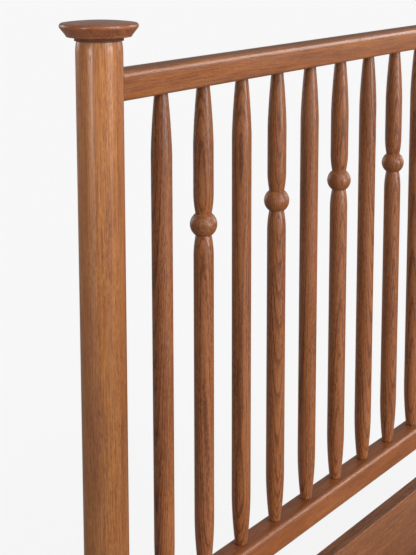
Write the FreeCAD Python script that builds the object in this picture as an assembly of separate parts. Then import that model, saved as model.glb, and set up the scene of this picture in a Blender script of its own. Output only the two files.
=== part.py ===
import FreeCAD, Part
import math
import os

# A king-size spindle bed in stained hardwood. Two tall round posts with mushroom caps carry a
# headboard of turned spindles, every second one with a round bead. Two short posts carry the low
# foot end, side rails are bolted between the posts, and slats lie on ledges and on a centre rail.
#
# Millimetres. The origin is on the floor under the middle of the bed. +Y runs towards the head,
# +Z up, and +X to the right of somebody who stands at the foot and looks at the headboard.

V = FreeCAD.Vector
UP = V(0, 0, 1)

# --- Mattress, which sets the plan of the bed -------------------------------------------------
mattress_width = 1500.0
mattress_length = 2000.0
mattress_end_room = 9.5         # free room between the mattress and each end panel

# --- Heights above the floor ------------------------------------------------------------------
head_height = 1150.0            # top of the head posts' caps
foot_height = 430.0             # top of the foot posts' caps
lower_rail_top = 463.0
board_top = 355.0               # top edge of the side rails and of both end panels
platform_drop = 90.0            # from that edge down to the slats' top, where the mattress lies

# --- Posts and caps ---------------------------------------------------------------------------
post_diameter = 50.0
post_top_ease = 1.3             # the radius that the post loses at its very top
post_top_ease_length = 13.0
post_foot_chamfer = 1.5
cap_diameter = 83.0
cap_height = 21.0
cap_rim_round = 3.2             # radius of the rounded rim
cap_rim_drop = 5.7              # from the cap's top down to its widest point
cap_face_diameter = 78.6        # the domed face inside the rim
cap_base_diameter = 69.4        # lower end of the cone-shaped side
cap_base_corner = 1.4
cap_collar_diameter = 51.8
cap_collar_height = 4.0
cap_spigot_diameter = 20.0
cap_spigot_length = 30.0

# --- Headboard rails --------------------------------------------------------------------------
rail_depth = 36.0
top_rail_height = 32.0
top_rail_drop = 33.0            # from the post's top down to the top rail
lower_rail_height = 34.5
rail_top_round = 7.0            # the long upper edges
rail_bottom_round = 4.0         # the long lower edges

# --- Spindles ---------------------------------------------------------------------------------
spindle_count = 17
spindle_diameter = 24.2
spindle_end_diameter = 15.2
spindle_top_taper = 70.0
spindle_bottom_taper = 73.0
spindle_top_swell = 0.6         # how far the upper taper bows out from a straight cone
spindle_tenon_diameter = 12.0
spindle_tenon_length = 18.0
bead_diameter = 32.5
bead_drop = 166.0               # from the top rail's underside down to the bead's centre
bead_neck_diameter = 19.2
bead_shoulder_above = 25.0      # length over which the neck swells to the full diameter
bead_shoulder_below = 26.0

# --- End panels, side rails and the tenons in the posts -----------------------------------------
panel_thickness = 23.0
panel_height = 190.0
side_rail_thickness = 25.0
side_rail_height = 190.0
board_edge_round = 1.5
tenon_length = 18.0             # past the post's surface
tenon_thickness = 12.0
rail_tenon_height = 22.0
panel_tenon_height = 150.0

# --- Slats, ledges and centre support -----------------------------------------------------------
slat_count = 12
slat_width = 95.0
slat_thickness = 18.0
slat_edge_round = 2.0
slat_end_gap = 3.0              # from a slat's end to the side rail
ledge_width = 30.0
ledge_height = 30.0
ledge_end_gap = 16.0            # from the ledge's end to the post, along the rail
centre_rail_width = 45.0
centre_rail_height = 60.0
centre_rail_end_gap = 0.5
bracket_thickness = 2.0
bracket_reach = 40.0            # how far the bracket's cheeks hold the centre rail
bracket_cheek_height = 45.0
bracket_flange_width = 22.0
centre_leg_diameter = 40.0
centre_leg_spacing = 900.0      # from one centre leg to the other
leg_floor_gap = 20.0            # from the floor to the underside of a centre leg

# --- Levelling feet under the centre legs -------------------------------------------------------
foot_travel = 8.0               # each way from the position in which it touches the floor
foot_pad_diameter = 36.0
foot_pad_height = 6.0
foot_pad_chamfer = 1.5
foot_hex_width = 13.0           # across the flats
foot_hex_height = 4.0
foot_stem_diameter = 8.0
foot_stem_grip = 24.0           # the length of the stem that is in the leg at rest
insert_diameter = 14.0
insert_length = 16.0

# --- Fasteners and glides -----------------------------------------------------------------------
bolt_diameter = 8.0
bolt_head_diameter = 17.0
bolt_head_height = 3.0
bolt_socket_diameter = 5.0      # for the key
bolt_socket_depth = 2.0
bolt_counterbore_diameter = 18.0
bolt_counterbore_depth = 6.0
bolt_spacing = 100.0            # between the upper and the lower bolt of a corner
bolt_end_past_nut = 3.0
barrel_nut_diameter = 14.0
barrel_nut_length = 16.0
barrel_nut_setback = 40.0       # from the post's surface to the nut's axis
hanger_bolt_length = 60.0
screw_diameter = 4.0
screw_head_diameter = 8.0
screw_head_height = 2.2
slat_screw_length = 35.0
ledge_screw_length = 45.0
bracket_screw_length = 17.0
bracket_screw_inset = 11.0      # from the flange's top, bottom and outer edge
glide_diameter = 42.0
glide_thickness = 4.0
glide_pin_diameter = 8.0
glide_pin_length = 18.0

# --- Clearances ---------------------------------------------------------------------------------
joint_clearance = 0.1           # around tenons, spigots, nuts, inserts and scribed shoulders
hole_end_room = 1.0             # free depth behind a tenon, spigot or pin
thread_clearance = 0.05         # radial, where a thread stands as a plain cylinder
bolt_hole_clearance = 0.5       # radial
bracket_clearance = 0.2         # between the bracket's cheeks and the centre rail

# --- Places worked out from the values above ----------------------------------------------------
post_radius = post_diameter / 2
post_x = mattress_width / 2 + post_radius
panel_inner_y = mattress_length / 2 + mattress_end_room
post_y = panel_inner_y + panel_thickness / 2
head_post_top = head_height - cap_height
foot_post_top = foot_height - cap_height
top_rail_top = head_post_top - top_rail_drop
top_rail_bottom = top_rail_top - top_rail_height
lower_rail_bottom = lower_rail_top - lower_rail_height
spindle_span = top_rail_bottom - lower_rail_top
spindle_pitch = mattress_width / (spindle_count + 1)
panel_bottom = board_top - panel_height
side_rail_bottom = board_top - side_rail_height
side_rail_inner_x = post_x - side_rail_thickness / 2
slat_top = board_top - platform_drop
slat_bottom = slat_top - slat_thickness
slat_half_length = side_rail_inner_x - slat_end_gap
slat_gap = (2 * panel_inner_y - slat_count * slat_width) / (slat_count + 1)
ledge_inner_x = side_rail_inner_x - ledge_width
ledge_half_length = post_y - post_radius - ledge_end_gap
centre_rail_bottom = slat_bottom - centre_rail_height
bolt_seat = post_radius - bolt_counterbore_depth
bolt_length = bolt_seat + post_radius + barrel_nut_setback + barrel_nut_diameter / 2 + bolt_end_past_nut
bolt_mid_height = board_top - side_rail_height / 2
bolt_heights = [bolt_mid_height - bolt_spacing / 2, bolt_mid_height + bolt_spacing / 2]


def box(x0, x1, y0, y1, z0, z1):
    """A block between two opposite corners, given in any order."""
    low = V(min(x0, x1), min(y0, y1), min(z0, z1))
    return Part.makeBox(abs(x1 - x0), abs(y1 - y0), abs(z1 - z0), low)


def rod(start, direction, radius, length):
    """A plain cylinder from start along direction."""
    return Part.makeCylinder(radius, length, start, direction)


def round_long_edges(bar, axis, radii):
    """Rounds the four long edges of a bar along axis (0 is X, 1 is Y); radii are for (bottom, top)."""
    middle = bar.BoundBox.Center.z
    for radius, on_top in zip(radii, (False, True)):
        edges = [e for e in bar.Edges if runs_along(e, axis) and (e.BoundBox.Center.z > middle) == on_top]
        bar = bar.makeFillet(radius, edges)
    return bar


def runs_along(edge, axis):
    """True for a straight edge that is as long as the bar and lies along axis."""
    if edge.Curve.TypeId != "Part::GeomLine":
        return False
    return abs(abs(edge.tangentAt(edge.FirstParameter)[axis]) - 1) < 1e-6


class Outline:
    """Half of a turned piece: straight runs and arcs from the axis, round and back to the axis."""

    def __init__(self, z):
        self.first = V(0, 0, z)
        self.last = self.first
        self.edges = []

    def run_to(self, r, z):
        point = V(r, 0, z)
        self.edges.append(Part.LineSegment(self.last, point).toShape())
        self.last = point

    def arc_through(self, middle, end):
        """An arc through a middle (r, z) to an end (r, z)."""
        point = V(end[0], 0, end[1])
        self.edges.append(Part.Arc(self.last, V(middle[0], 0, middle[1]), point).toShape())
        self.last = point

    def arc_to(self, r, z, swell):
        """An arc whose middle stands swell outside the straight run to (r, z)."""
        run_r = r - self.last.x
        run_z = z - self.last.z
        length = math.hypot(run_r, run_z)
        side = 1 if run_z > 0 else -1
        middle = (self.last.x + run_r / 2 + side * swell * run_z / length,
                  self.last.z + run_z / 2 - side * swell * run_r / length)
        self.arc_through(middle, (r, z))

    def turned(self):
        self.edges.append(Part.LineSegment(self.last, self.first).toShape())
        return Part.Face(Part.Wire(self.edges)).revolve(V(0, 0, 0), UP, 360)


def round_swell(radius):
    """The swell of a quarter of a circle."""
    return radius * (1 - math.cos(math.pi / 4))


def leaving_swell(length, step):
    """The swell of an arc that leaves a straight stem smoothly and steps in or out over a length."""
    radius = (length ** 2 + step ** 2) / (2 * step)
    chord = math.hypot(length, step)
    return radius - math.sqrt(radius ** 2 - chord ** 2 / 4)


# --- Posts, caps and glides ---------------------------------------------------------------------

def cap():
    """A mushroom cap on the plane z = 0: spigot, collar, cone-shaped side, round rim, domed face."""
    radius = cap_diameter / 2
    rim_r = radius - cap_rim_round
    rim_z = cap_height - cap_rim_drop
    base_r = cap_base_diameter / 2
    face_r = cap_face_diameter / 2
    base_z = cap_collar_height + cap_base_corner
    # The side leaves the base corner along the line that just touches the rim's circle.
    to_rim = math.atan2(rim_z - base_z, rim_r - base_r)
    lift = to_rim - math.asin(cap_rim_round / math.hypot(rim_r - base_r, rim_z - base_z))
    side_end = (rim_r + cap_rim_round * math.sin(lift), rim_z - cap_rim_round * math.cos(lift))
    face_angle = math.acos((face_r - rim_r) / cap_rim_round)
    face_z = rim_z + cap_rim_round * math.sin(face_angle)

    shape = Outline(-cap_spigot_length)
    shape.run_to(cap_spigot_diameter / 2, -cap_spigot_length)
    shape.run_to(cap_spigot_diameter / 2, 0)
    shape.run_to(cap_collar_diameter / 2, 0)
    shape.run_to(cap_collar_diameter / 2, cap_collar_height)
    shape.run_to(base_r - cap_base_corner, cap_collar_height)
    shape.arc_to(base_r, base_z, round_swell(cap_base_corner))
    shape.run_to(*side_end)
    shape.arc_through((radius, rim_z), (face_r, face_z))
    shape.arc_to(0, cap_height, leaving_swell(face_r, cap_height - face_z))
    return shape.turned()


def post_blank(top):
    """A round post from its glide to top, with an eased top edge and a chamfered foot."""
    shape = Outline(glide_thickness)
    shape.run_to(post_radius - post_foot_chamfer, glide_thickness)
    shape.run_to(post_radius, glide_thickness + post_foot_chamfer)
    shape.run_to(post_radius, top - post_top_ease_length)
    shape.arc_to(post_radius - post_top_ease, top, leaving_swell(post_top_ease_length, post_top_ease))
    shape.run_to(0, top)
    return shape.turned()


def glide():
    """A floor glide under a post: a round plate and the pin that holds it."""
    plate = rod(V(0, 0, 0), UP, glide_diameter / 2, glide_thickness)
    pin = rod(V(0, 0, 0), UP, glide_pin_diameter / 2, glide_thickness + glide_pin_length)
    return plate.fuse(pin).removeSplitter()


def tenon(side, end, height, middle, clearance=0.0):
    """The tenon of a rail or panel in the post at (side, end), or its mortise with a clearance."""
    inside = side * (post_x - post_radius - tenon_length)
    tip = side * (post_x - post_radius + tenon_length + clearance)
    half_thickness = tenon_thickness / 2 + clearance
    half_height = height / 2 + clearance
    front = end * post_y - half_thickness
    back = end * post_y + half_thickness
    return box(inside, tip, front, back, middle - half_height, middle + half_height)


def tenons_at(end):
    """Height and middle of each tenon that enters a post at the head (1) or the foot (-1)."""
    found = [(panel_tenon_height, board_top - panel_height / 2)]
    if end > 0:
        found.append((rail_tenon_height, top_rail_top - top_rail_height / 2))
        found.append((rail_tenon_height, lower_rail_top - lower_rail_height / 2))
    return found


def post(side, end, top):
    """A finished post: bored for its cap, glide and bolts, and mortised for rails and panel."""
    shape = post_blank(top)
    spigot_r = cap_spigot_diameter / 2 + joint_clearance
    shape = shape.cut(rod(V(0, 0, top), V(0, 0, -1), spigot_r, cap_spigot_length + hole_end_room))
    pin_r = glide_pin_diameter / 2 + joint_clearance
    shape = shape.cut(rod(V(0, 0, glide_thickness), UP, pin_r, glide_pin_length + hole_end_room))
    shape.translate(V(side * post_x, end * post_y, 0))
    for height, middle in tenons_at(end):
        shape = shape.cut(tenon(side, end, height, middle, joint_clearance))
    for z in bolt_heights:
        outer = V(side * post_x, end * (post_y + post_radius), z)
        inward = V(0, -end, 0)
        shape = shape.cut(rod(outer, inward, bolt_diameter / 2 + bolt_hole_clearance, post_diameter))
        shape = shape.cut(rod(outer, inward, bolt_counterbore_diameter / 2, bolt_counterbore_depth))
    return shape


def scribed_between_posts(bar, end):
    """Cuts both ends of a cross bar to the round of the posts that it meets."""
    for side in (-1, 1):
        bottom = V(side * post_x, end * post_y, 0)
        bar = bar.cut(rod(bottom, UP, post_radius + joint_clearance, head_height))
    return bar


# --- Headboard ----------------------------------------------------------------------------------

def spindle_places():
    """The X of each spindle's axis, with True for those that have a bead: every second one."""
    for i in range(1, spindle_count + 1):
        yield i * spindle_pitch - mattress_width / 2, i % 2 == 0


def head_rail(top, height):
    """A headboard rail with rounded edges, scribed ends and a tenon at each end."""
    half = rail_depth / 2
    bar = box(-post_x, post_x, post_y - half, post_y + half, top - height, top)
    bar = scribed_between_posts(round_long_edges(bar, 0, (rail_bottom_round, rail_top_round)), 1)
    for side in (-1, 1):
        bar = bar.fuse(tenon(side, 1, rail_tenon_height, top - height / 2))
    return bar.removeSplitter()


def bored_for_spindles(bar, mouth, direction):
    """Drills a blind hole for each spindle's tenon, from the height mouth up (1) or down (-1)."""
    radius = spindle_tenon_diameter / 2 + joint_clearance
    for x, _ in spindle_places():
        hole = rod(V(x, post_y, mouth), V(0, 0, direction), radius, spindle_tenon_length + hole_end_room)
        bar = bar.cut(hole)
    return bar


def add_bead(shape):
    """The round bead between two necks, each of which swells smoothly to the full diameter."""
    body_r = spindle_diameter / 2
    neck_r = bead_neck_diameter / 2
    bead_r = bead_diameter / 2
    middle = spindle_span - bead_drop
    neck_z = math.sqrt(bead_r ** 2 - neck_r ** 2)
    step = body_r - neck_r
    shape.run_to(body_r, middle - neck_z - bead_shoulder_below)
    shape.arc_to(neck_r, middle - neck_z, leaving_swell(bead_shoulder_below, step))
    shape.arc_through((bead_r, middle), (neck_r, middle + neck_z))
    shape.arc_to(body_r, middle + neck_z + bead_shoulder_above, leaving_swell(bead_shoulder_above, step))


def spindle(beaded):
    """A turned spindle with its lower shoulder on z = 0 and a tenon beyond each shoulder."""
    tenon_r = spindle_tenon_diameter / 2
    end_r = spindle_end_diameter / 2
    body_r = spindle_diameter / 2
    shape = Outline(-spindle_tenon_length)
    shape.run_to(tenon_r, -spindle_tenon_length)
    shape.run_to(tenon_r, 0)
    shape.run_to(end_r, 0)
    shape.arc_to(body_r, spindle_bottom_taper, leaving_swell(spindle_bottom_taper, body_r - end_r))
    if beaded:
        add_bead(shape)
    shape.run_to(body_r, spindle_span - spindle_top_taper)
    shape.arc_to(end_r, spindle_span, spindle_top_swell)
    shape.run_to(tenon_r, spindle_span)
    shape.run_to(tenon_r, spindle_span + spindle_tenon_length)
    shape.run_to(0, spindle_span + spindle_tenon_length)
    return shape.turned()


# --- Panels, side rails and their bolts -----------------------------------------------------------

def end_panel(end):
    """The flat board between two posts, at the head (1) or the foot (-1)."""
    half = panel_thickness / 2
    y = end * post_y
    bar = box(-post_x, post_x, y - half, y + half, panel_bottom, board_top)
    bar = scribed_between_posts(round_long_edges(bar, 0, (board_edge_round, board_edge_round)), end)
    for side in (-1, 1):
        bar = bar.fuse(tenon(side, end, panel_tenon_height, board_top - panel_height / 2))
    bar = bar.removeSplitter()
    for x, z in bracket_screw_places():
        start = V(x, end * panel_inner_y, z)
        bar = bar.cut(rod(start, V(0, end, 0), screw_diameter / 2 + thread_clearance, bracket_screw_length))
    return bar


def bolt(side, end, z):
    """A bed bolt: a wide flat head in the post's counterbore and a shank into the side rail."""
    seat = V(side * post_x, end * (post_y + bolt_seat), z)
    shank = rod(seat, V(0, -end, 0), bolt_diameter / 2, bolt_length)
    head = rod(seat, V(0, end, 0), bolt_head_diameter / 2, bolt_head_height)
    face = seat + V(0, end * bolt_head_height, 0)
    socket = rod(face, V(0, -end, 0), bolt_socket_diameter / 2, bolt_socket_depth)
    return head.fuse(shank).cut(socket).removeSplitter()


def nut_centre(side, end, z):
    return V(side * post_x, end * (post_y - post_radius - barrel_nut_setback), z)


def barrel_nut(side, end, z):
    """A cross nut in the side rail, with the hole that the bed bolt screws into."""
    centre = nut_centre(side, end, z)
    nut = rod(centre - V(barrel_nut_length / 2, 0, 0), V(1, 0, 0), barrel_nut_diameter / 2, barrel_nut_length)
    start = centre - V(0, barrel_nut_diameter / 2, 0)
    return nut.cut(rod(start, V(0, 1, 0), bolt_diameter / 2 + thread_clearance, barrel_nut_diameter))


def corners():
    """Each bed bolt's side (-1 left), end (-1 foot) and height."""
    return [(side, end, z) for side in (-1, 1) for end in (-1, 1) for z in bolt_heights]


def side_rail(side):
    """A side rail scribed to the posts, drilled for bolts, cross nuts and the ledge's screws."""
    half = side_rail_thickness / 2
    x = side * post_x
    bar = box(x - half, x + half, -post_y, post_y, side_rail_bottom, board_top)
    bar = round_long_edges(bar, 1, (board_edge_round, board_edge_round))
    for end in (-1, 1):
        bar = bar.cut(rod(V(x, end * post_y, 0), UP, post_radius + joint_clearance, head_height))
    for end in (-1, 1):
        for z in bolt_heights:
            seat = V(x, end * (post_y + bolt_seat), z)
            length = bolt_length + hole_end_room
            bar = bar.cut(rod(seat, V(0, -end, 0), bolt_diameter / 2 + bolt_hole_clearance, length))
            tip = nut_centre(side, end, z) + V(side * (barrel_nut_length / 2 + joint_clearance), 0, 0)
            radius = barrel_nut_diameter / 2 + joint_clearance
            bar = bar.cut(rod(tip, V(-side, 0, 0), radius, side_rail_thickness))
    for start in ledge_screw_starts(side):
        bar = bar.cut(countersunk_screw(start, V(side, 0, 0), ledge_screw_length, thread_clearance))
    return bar


# --- Screws ---------------------------------------------------------------------------------------

def countersunk_screw(start, direction, length, clearance=0.0):
    """A wood screw with its flat head flush at start, or its hole with a clearance."""
    shank = rod(start, direction, screw_diameter / 2 + clearance, length + clearance)
    head = Part.makeCone(screw_head_diameter / 2 + clearance, screw_diameter / 2 + clearance,
                         screw_head_height, start, direction)
    return shank.fuse(head)


def slat_screw_starts(y):
    """Where the two screws of the slat at y enter its upper face, over the ledges' middles."""
    x = (side_rail_inner_x + ledge_inner_x) / 2
    return [V(side * x, y, slat_top) for side in (-1, 1)]


def ledge_screw_starts(side):
    """Where the ledge's screws enter its inner face: in every second gap between slats."""
    z = slat_bottom - ledge_height / 2
    pitch = slat_gap + slat_width
    return [V(side * ledge_inner_x, k * pitch + slat_gap / 2 - panel_inner_y, z)
            for k in range(1, slat_count, 2)]


def bracket_screw_places():
    """X and Z of the four screws of a centre rail bracket, the same at both ends of the bed."""
    cheek = centre_rail_width / 2 + bracket_clearance + bracket_thickness
    x = cheek + bracket_flange_width - bracket_screw_inset
    low = centre_rail_bottom - bracket_thickness + bracket_screw_inset
    high = centre_rail_bottom + bracket_cheek_height - bracket_screw_inset
    return [(sx * x, z) for sx in (-1, 1) for z in (low, high)]


def bracket_screw(end, x, z):
    """A pan-head screw through the bracket's flange into the end panel."""
    face = V(x, end * (panel_inner_y - bracket_thickness), z)
    shank = rod(face, V(0, end, 0), screw_diameter / 2, bracket_screw_length)
    head = rod(face, V(0, -end, 0), screw_head_diameter / 2, screw_head_height)
    return shank.fuse(head).removeSplitter()


# --- Slats, ledges and centre support ---------------------------------------------------------------

def slat_places():
    """The Y of each slat's middle, with equal gaps from end panel to end panel."""
    pitch = slat_gap + slat_width
    return [slat_gap + slat_width / 2 + i * pitch - panel_inner_y for i in range(slat_count)]


def slat(y):
    """A slat across the bed, screwed down to the ledge at each end."""
    half = slat_width / 2
    bar = box(-slat_half_length, slat_half_length, y - half, y + half, slat_bottom, slat_top)
    bar = round_long_edges(bar, 0, (slat_edge_round, slat_edge_round))
    for start in slat_screw_starts(y):
        bar = bar.cut(countersunk_screw(start, V(0, 0, -1), slat_screw_length, joint_clearance))
    return bar


def ledge(side):
    """The strip along a side rail on which the slats lie."""
    bar = box(side * ledge_inner_x, side * side_rail_inner_x, -ledge_half_length, ledge_half_length,
              slat_bottom - ledge_height, slat_bottom)
    for start in ledge_screw_starts(side):
        bar = bar.cut(countersunk_screw(start, V(side, 0, 0), ledge_screw_length, thread_clearance))
    for y in slat_places():
        for start in slat_screw_starts(y):
            bar = bar.cut(countersunk_screw(start, V(0, 0, -1), slat_screw_length, thread_clearance))
    return bar


def centre_rail():
    """The rail along the middle of the bed, under the slats, drilled for the legs' bolts."""
    half = centre_rail_width / 2
    half_length = panel_inner_y - bracket_thickness - centre_rail_end_gap
    bar = box(-half, half, -half_length, half_length, centre_rail_bottom, slat_bottom)
    for end in (-1, 1):
        start = V(0, end * centre_leg_spacing / 2, centre_rail_bottom)
        depth = hanger_bolt_length / 2 + hole_end_room
        bar = bar.cut(rod(start, UP, bolt_diameter / 2 + thread_clearance, depth))
    return bar


def bracket(end):
    """A bent steel hanger on the end panel: back plate, two cheeks and a shelf for the rail."""
    inner = centre_rail_width / 2 + bracket_clearance
    outer = inner + bracket_thickness
    flange = outer + bracket_flange_width
    shelf = centre_rail_bottom - bracket_thickness
    top = centre_rail_bottom + bracket_cheek_height
    wall = end * panel_inner_y
    front = end * (panel_inner_y - bracket_thickness)
    tip = end * (panel_inner_y - bracket_thickness - bracket_reach)
    shape = box(-flange, flange, front, wall, shelf, top)
    shape = shape.fuse(box(-outer, -inner, tip, front, shelf, top))
    shape = shape.fuse(box(inner, outer, tip, front, shelf, top))
    shape = shape.fuse(box(-inner, inner, tip, front, shelf, centre_rail_bottom)).removeSplitter()
    for x, z in bracket_screw_places():
        hole_r = screw_diameter / 2 + joint_clearance
        shape = shape.cut(rod(V(x, front, z), V(0, end, 0), hole_r, bracket_thickness))
    return shape


def centre_leg(end):
    """A round leg under the centre rail, bored for its hanger bolt, insert and levelling stem."""
    y = end * centre_leg_spacing / 2
    length = centre_rail_bottom - leg_floor_gap
    leg = rod(V(0, y, leg_floor_gap), UP, centre_leg_diameter / 2, length)
    depth = hanger_bolt_length / 2 + hole_end_room
    leg = leg.cut(rod(V(0, y, centre_rail_bottom), V(0, 0, -1), bolt_diameter / 2 + thread_clearance, depth))
    bottom = V(0, y, leg_floor_gap)
    leg = leg.cut(rod(bottom, UP, insert_diameter / 2 + joint_clearance, insert_length + joint_clearance))
    stem_room = foot_stem_grip + foot_travel + hole_end_room
    return leg.cut(rod(bottom, UP, foot_stem_diameter / 2 + bolt_hole_clearance, stem_room))


def hanger_bolt(end):
    """The double-ended bolt that joins a centre leg to the centre rail."""
    start = V(0, end * centre_leg_spacing / 2, centre_rail_bottom - hanger_bolt_length / 2)
    return rod(start, UP, bolt_diameter / 2, hanger_bolt_length)


def threaded_insert(end):
    """The metal sleeve in a centre leg that the levelling foot screws into."""
    bottom = V(0, end * centre_leg_spacing / 2, leg_floor_gap)
    sleeve = rod(bottom, UP, insert_diameter / 2, insert_length)
    return sleeve.cut(rod(bottom, UP, foot_stem_diameter / 2 + thread_clearance, insert_length))


def levelling_foot(end):
    """A levelling foot on the floor: chamfered pad, hexagon for a spanner and threaded stem."""
    radius = foot_pad_diameter / 2
    shape = Outline(0)
    shape.run_to(radius, 0)
    shape.run_to(radius, foot_pad_height - foot_pad_chamfer)
    shape.run_to(radius - foot_pad_chamfer, foot_pad_height)
    shape.run_to(0, foot_pad_height)
    corner = foot_hex_width / math.sqrt(3)
    turns = [k * math.pi / 3 for k in range(7)]
    points = [V(corner * math.cos(turn), corner * math.sin(turn), foot_pad_height) for turn in turns]
    hexagon = Part.Face(Part.makePolygon(points)).extrude(V(0, 0, foot_hex_height))
    stem_length = leg_floor_gap + foot_stem_grip - foot_pad_height
    stem = rod(V(0, 0, foot_pad_height), UP, foot_stem_diameter / 2, stem_length)
    foot = shape.turned().fuse([hexagon, stem]).removeSplitter()
    foot.translate(V(0, end * centre_leg_spacing / 2, 0))
    return foot


# --- All the pieces -----------------------------------------------------------------------------

def moved(shape, x, y, z):
    copy = shape.copy()
    copy.translate(V(x, y, z))
    return copy


SIDES = {"left": -1, "right": 1}
ENDS = {"head": 1, "foot": -1}


def end_frames():
    """Posts, caps and panel of the head and the foot end."""
    pieces = {}
    for end_name, end in ENDS.items():
        top = head_post_top if end > 0 else foot_post_top
        for side_name, side in SIDES.items():
            pieces[f"{end_name}_post_{side_name}"] = post(side, end, top)
            pieces[f"{end_name}_cap_{side_name}"] = moved(cap(), side * post_x, end * post_y, top)
        pieces[f"{end_name}_panel"] = end_panel(end)
    return pieces


def headboard():
    """Top rail, lower rail and the spindles between them."""
    top_rail = head_rail(top_rail_top, top_rail_height)
    lower_rail = head_rail(lower_rail_top, lower_rail_height)
    pieces = {
        "head_top_rail": bored_for_spindles(top_rail, top_rail_bottom, 1),
        "head_lower_rail": bored_for_spindles(lower_rail, lower_rail_top, -1),
    }
    for number, (x, beaded) in enumerate(spindle_places(), 1):
        kind = "beaded" if beaded else "plain"
        pieces[f"spindle_{number:02d}_{kind}"] = moved(spindle(beaded), x, post_y, lower_rail_top)
    return pieces


def mattress_support():
    """Side rails, ledges, slats and the centre rail with its legs and levelling feet."""
    pieces = {"centre_rail": centre_rail()}
    for side_name, side in SIDES.items():
        pieces[f"side_rail_{side_name}"] = side_rail(side)
        pieces[f"slat_ledge_{side_name}"] = ledge(side)
    for number, y in enumerate(slat_places(), 1):
        pieces[f"slat_{number:02d}"] = slat(y)
    for end_name, end in ENDS.items():
        pieces[f"centre_leg_{end_name}_side"] = centre_leg(end)
        pieces[f"levelling_foot_{end_name}_side"] = levelling_foot(end)
    return pieces


def hardware():
    """Groups of identical fasteners, brackets and glides, one solid each."""
    both = (-1, 1)
    groups = {
        "bed_bolts": [bolt(*corner) for corner in corners()],
        "barrel_nuts": [barrel_nut(*corner) for corner in corners()],
        "ledge_screws": [countersunk_screw(start, V(side, 0, 0), ledge_screw_length).removeSplitter()
                         for side in both for start in ledge_screw_starts(side)],
        "slat_screws": [countersunk_screw(start, V(0, 0, -1), slat_screw_length).removeSplitter()
                        for y in slat_places() for start in slat_screw_starts(y)],
        "bracket_screws": [bracket_screw(end, x, z) for end in both for x, z in bracket_screw_places()],
        "centre_rail_brackets": [bracket(end) for end in both],
        "leg_hanger_bolts": [hanger_bolt(end) for end in both],
        "leg_threaded_inserts": [threaded_insert(end) for end in both],
        "post_glides": [moved(glide(), side * post_x, end * post_y, 0) for side in both for end in both],
    }
    return {name: Part.makeCompound(solids) for name, solids in groups.items()}


def main():
    os.makedirs("parts", exist_ok=True)
    pieces = {**end_frames(), **headboard(), **mattress_support(), **hardware()}
    for name, shape in pieces.items():
        shape.exportStep(f"parts/{name}.step")
        litres = shape.Volume / 1e6
        print(f"{name}: {len(shape.Solids)} solid(s), valid {shape.isValid()}, {litres:.4f} litres")
    print(len(pieces), "pieces; spindle pitch", round(spindle_pitch, 2), "slat gap", round(slat_gap, 2))


main()
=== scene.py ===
# %% [markdown]
# # A spindle bed in stained hardwood
#
# This lesson dresses a bed whose solids come from CAD. The bed has two tall turned posts with
# mushroom caps, a headboard of seventeen turned spindles, a low foot end, side rails and slats.
# Everything is in metres. X runs along the headboard, +Y towards the head and +Z up, and the
# origin is on the floor under the middle of the bed.

# %% Load the frame
import math

import bpy
import numpy as np
from mathutils import Matrix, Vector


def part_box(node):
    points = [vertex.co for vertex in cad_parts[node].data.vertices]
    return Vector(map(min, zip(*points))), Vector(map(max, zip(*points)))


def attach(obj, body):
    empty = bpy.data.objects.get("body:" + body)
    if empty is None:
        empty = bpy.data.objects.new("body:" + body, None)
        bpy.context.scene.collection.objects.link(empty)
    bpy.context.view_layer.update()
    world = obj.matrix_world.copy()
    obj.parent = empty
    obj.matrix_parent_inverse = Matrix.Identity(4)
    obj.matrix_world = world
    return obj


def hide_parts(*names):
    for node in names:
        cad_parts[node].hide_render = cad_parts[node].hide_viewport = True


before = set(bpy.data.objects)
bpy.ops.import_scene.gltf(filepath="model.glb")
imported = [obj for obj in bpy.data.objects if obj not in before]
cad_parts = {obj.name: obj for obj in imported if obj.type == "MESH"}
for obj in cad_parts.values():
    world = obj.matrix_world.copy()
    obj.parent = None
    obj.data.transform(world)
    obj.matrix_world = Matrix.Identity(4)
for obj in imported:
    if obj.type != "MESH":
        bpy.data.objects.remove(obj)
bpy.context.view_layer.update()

# %% [markdown]
# ## Sizes
#
# The turned and moulded pieces are made again here as fine, smooth surfaces from the same sizes
# as the solids. Only sizes that shape those surfaces are repeated, in millimetres, and the
# places come from the boxes of the CAD nodes.

# %% Sizes in millimetres
MM = 0.001
POST_RADIUS = 25.0
SCRIBE_RADIUS = 25.1  # where the rails' ends meet the posts
BOLT_HEIGHTS = (210.0, 310.0)


def node_box(node):
    """Lowest and highest corner of a CAD node, in millimetres."""
    low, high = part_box(node)
    return np.array(low) / MM, np.array(high) / MM


post_low, post_high = node_box("head_post_right")
post_x = (post_low[0] + post_high[0]) / 2
post_y = (post_low[1] + post_high[1]) / 2
print("post axes at X", round(post_x, 2), "and Y", round(post_y, 2))

# %% [markdown]
# ## From a grid of points to a mesh
#
# Every new surface is a grid: rows follow each other along the piece, and each row runs once
# around it. Neighbouring rows are joined by quads, and a row that shrinks to one point is a
# pole, closed by a fan of triangles. Working on whole arrays keeps this short and fast.

# %% Grid to mesh


def full_turn(around):
    """Angles once round, without the last one, which would fall on the first."""
    return np.arange(around) * 2 * np.pi / around


def spun(radii, heights, turns):
    """Rows of points (r cos t, r sin t, z): one row for each height, one point for each turn t."""
    z = np.asarray(heights, float)[:, None] + 0 * turns
    return np.stack([radii * np.cos(turns), radii * np.sin(turns), z], axis=-1)


def join_rows(rows, around):
    """Quads between neighbouring rows of a closed grid.

    Corner k of row i is joined to corner k + 1 of row i + 1.
    """
    index = np.arange(rows * around).reshape(rows, around)
    beside = np.roll(index, -1, axis=1)
    quads = np.stack([index[:-1], beside[:-1], beside[1:], index[1:]], axis=-1)
    return quads.reshape(-1, 4)


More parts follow.
